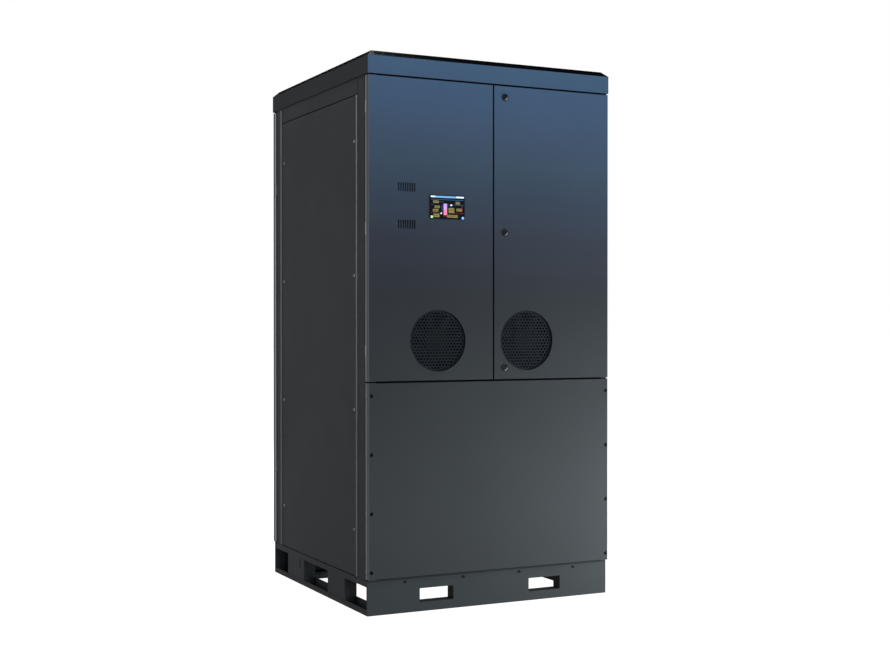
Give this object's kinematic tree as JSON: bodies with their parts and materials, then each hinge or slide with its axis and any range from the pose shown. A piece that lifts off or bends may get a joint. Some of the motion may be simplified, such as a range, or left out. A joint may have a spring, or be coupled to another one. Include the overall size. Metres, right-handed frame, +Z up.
{
  "type": "coolant distribution unit",
  "caption": "Floor-standing liquid-coolant distribution cabinet with hinged doors, fans, operator display, pumps, plate heat exchanger, valves and roof pipe connections on a fork-pocket plinth.",
  "frame": {"origin": "centre of the footprint at floor level", "axes": "front faces -Y, +X to the right seen from the front, +Z up"},
  "size_m": [1.006, 1.025, 2.088],
  "materials": {
    "front_paint": "fine-textured satin powder coat, slate with a blue cast",
    "side_paint": "fine-textured matt powder coat, near black",
    "frame_paint": "fine-textured matt powder coat, dark grey",
    "bright_steel": "zinc plated",
    "black_steel": "black zinc",
    "stainless_steel": "brushed",
    "galvanised_steel": "zinc coated sheet",
    "black_plastic": "matt",
    "grey_plastic": "matt",
    "light_plastic": "matt",
    "display_glass": "gloss black",
    "cast_iron": "painted casting",
    "motor_paint": "satin enamel",
    "blue_paint": "satin enamel",
    "red_paint": "satin enamel"
  },
  "bodies": {
    "cabinet": {"base_frame": "frame_paint", "cable_ducts": "grey_plastic", "circuit_breakers": "light_plastic", "control_valve": "cast_iron", "control_valve_actuator": "grey_plastic", "controller": "grey_plastic", "corner_posts": "frame_paint", "din_rail": "galvanised_steel", "door_mullions": "frame_paint", "drip_tray": "stainless_steel", "equipment_shelf": "galvanised_steel", "exchanger_frame": "blue_paint", "exchanger_plates": "stainless_steel", "expansion_vessel": "red_paint", "hinge_brackets": "black_steel", "isolation_valves": "cast_iron", "lower_front_panel": "front_paint", "mid_frame": "frame_paint", "mounting_plate": "galvanised_steel", "panel_screws": "black_steel", "primary_return_pipe": "stainless_steel", "primary_supply_pipe": "stainless_steel", "pump_discharge_pipe": "stainless_steel", "pump_drives": "light_plastic", "pump_motors": "motor_paint", "pump_plinth": "frame_paint", "pump_volutes": "cast_iron", "roof_cover": "front_paint", "secondary_return_pipe": "stainless_steel", "secondary_supply_pipe": "stainless_steel", "side_panel_left": "side_paint", "side_panel_right": "side_paint", "side_panel_screws": "bright_steel", "strainer": "cast_iron", "top_frame": "frame_paint"},
    "front_left_leaf": {"front_door_left": "front_paint", "vent_grille_left": "front_paint", "fan_housing_left": "black_plastic", "hmi_housing": "black_plastic", "hmi_screen": "display_glass"},
    "front_right_leaf": {"front_door_right": "front_paint", "vent_grille_right": "front_paint", "fan_housing_right": "black_plastic", "front_lock_housings": "black_steel"},
    "rear_left_leaf": {"rear_door_left": "front_paint"},
    "rear_right_leaf": {"rear_door_right": "front_paint", "rear_lock_housings": "black_steel"},
    "left_fan_rotor": {"fan_rotor_left": "black_plastic"},
    "right_fan_rotor": {"fan_rotor_right": "black_plastic"},
    "front_bolt": {"front_bolt_rod": "bright_steel"},
    "rear_bolt": {"rear_bolt_rod": "bright_steel"},
    "front_lock_lower_core": {"front_lock_lower": "black_steel"},
    "front_lock_middle_core": {"front_lock_middle": "black_steel"},
    "front_lock_upper_core": {"front_lock_upper": "black_steel"},
    "rear_lock_lower_core": {"rear_lock_lower": "black_steel"},
    "rear_lock_upper_core": {"rear_lock_upper": "black_steel"},
    "primary_return_lever": {"valve_lever_primary_return": "red_paint"},
    "primary_supply_lever": {"valve_lever_primary_supply": "red_paint"},
    "secondary_return_lever": {"valve_lever_secondary_return": "red_paint"},
    "secondary_supply_lever": {"valve_lever_secondary_supply": "red_paint"}
  },
  "joints": [
    {"name": "front_left_hinge", "type": "hinge", "parent": "cabinet", "child": "front_left_leaf", "pos_m": [-0.496, -0.4745, 0.832], "axis": [0, 0, 1], "range_deg": [-120, 0]},
    {"name": "front_right_hinge", "type": "hinge", "parent": "cabinet", "child": "front_right_leaf", "pos_m": [0.496, -0.4745, 0.832], "axis": [0, 0, 1], "range_deg": [0, 120]},
    {"name": "rear_left_hinge", "type": "hinge", "parent": "cabinet", "child": "rear_left_leaf", "pos_m": [-0.496, 0.4745, 0.129], "axis": [0, 0, 1], "range_deg": [0, 120]},
    {"name": "rear_right_hinge", "type": "hinge", "parent": "cabinet", "child": "rear_right_leaf", "pos_m": [0.496, 0.4745, 0.129], "axis": [0, 0, 1], "range_deg": [-120, 0]},
    {"name": "left_fan_spin", "type": "hinge", "parent": "front_left_leaf", "child": "left_fan_rotor", "pos_m": [-0.2276, -0.475, 0.9765], "axis": [0, 1, 0], "continuous": true},
    {"name": "right_fan_spin", "type": "hinge", "parent": "front_right_leaf", "child": "right_fan_rotor", "pos_m": [0.1407, -0.475, 0.9765], "axis": [0, 1, 0], "continuous": true},
    {"name": "front_lower_lock_turn", "type": "hinge", "parent": "front_right_leaf", "child": "front_lock_lower_core", "pos_m": [0.048, -0.5095, 0.875], "axis": [0, 1, 0], "range_deg": [0, 90]},
    {"name": "front_middle_lock_turn", "type": "hinge", "parent": "front_right_leaf", "child": "front_lock_middle_core", "pos_m": [0.048, -0.5095, 1.3755], "axis": [0, 1, 0], "range_deg": [0, 90]},
    {"name": "front_upper_lock_turn", "type": "hinge", "parent": "front_right_leaf", "child": "front_lock_upper_core", "pos_m": [0.048, -0.5095, 1.876], "axis": [0, 1, 0], "range_deg": [0, 90]},
    {"name": "rear_lower_lock_turn", "type": "hinge", "parent": "rear_right_leaf", "child": "rear_lock_lower_core", "pos_m": [0.048, 0.5095, 0.293], "axis": [0, 1, 0], "range_deg": [0, 90]},
    {"name": "rear_upper_lock_turn", "type": "hinge", "parent": "rear_right_leaf", "child": "rear_lock_upper_core", "pos_m": [0.048, 0.5095, 1.3755], "axis": [0, 1, 0], "range_deg": [0, 90]},
    {"name": "front_bolt_slide", "type": "slide", "parent": "front_left_leaf", "child": "front_bolt", "axis": [0, 0, 1], "range_m": [0, 0.015]},
    {"name": "rear_bolt_slide", "type": "slide", "parent": "rear_left_leaf", "child": "rear_bolt", "axis": [0, 0, 1], "range_m": [0, 0.015]},
    {"name": "secondary_return_valve_turn", "type": "hinge", "parent": "cabinet", "child": "secondary_return_lever", "pos_m": [0.06, 0.208, 1.3], "axis": [0, 1, 0], "range_deg": [-90, 0]},
    {"name": "secondary_supply_valve_turn", "type": "hinge", "parent": "cabinet", "child": "secondary_supply_lever", "pos_m": [0.22, 0.208, 1.3], "axis": [0, 1, 0], "range_deg": [0, 90]},
    {"name": "primary_return_valve_turn", "type": "hinge", "parent": "cabinet", "child": "primary_return_lever", "pos_m": [0.06, 0.388, 1.5], "axis": [0, 1, 0], "range_deg": [-90, 0]},
    {"name": "primary_supply_valve_turn", "type": "hinge", "parent": "cabinet", "child": "primary_supply_lever", "pos_m": [0.22, 0.388, 1.5], "axis": [0, 1, 0], "range_deg": [0, 90]}
  ]
}
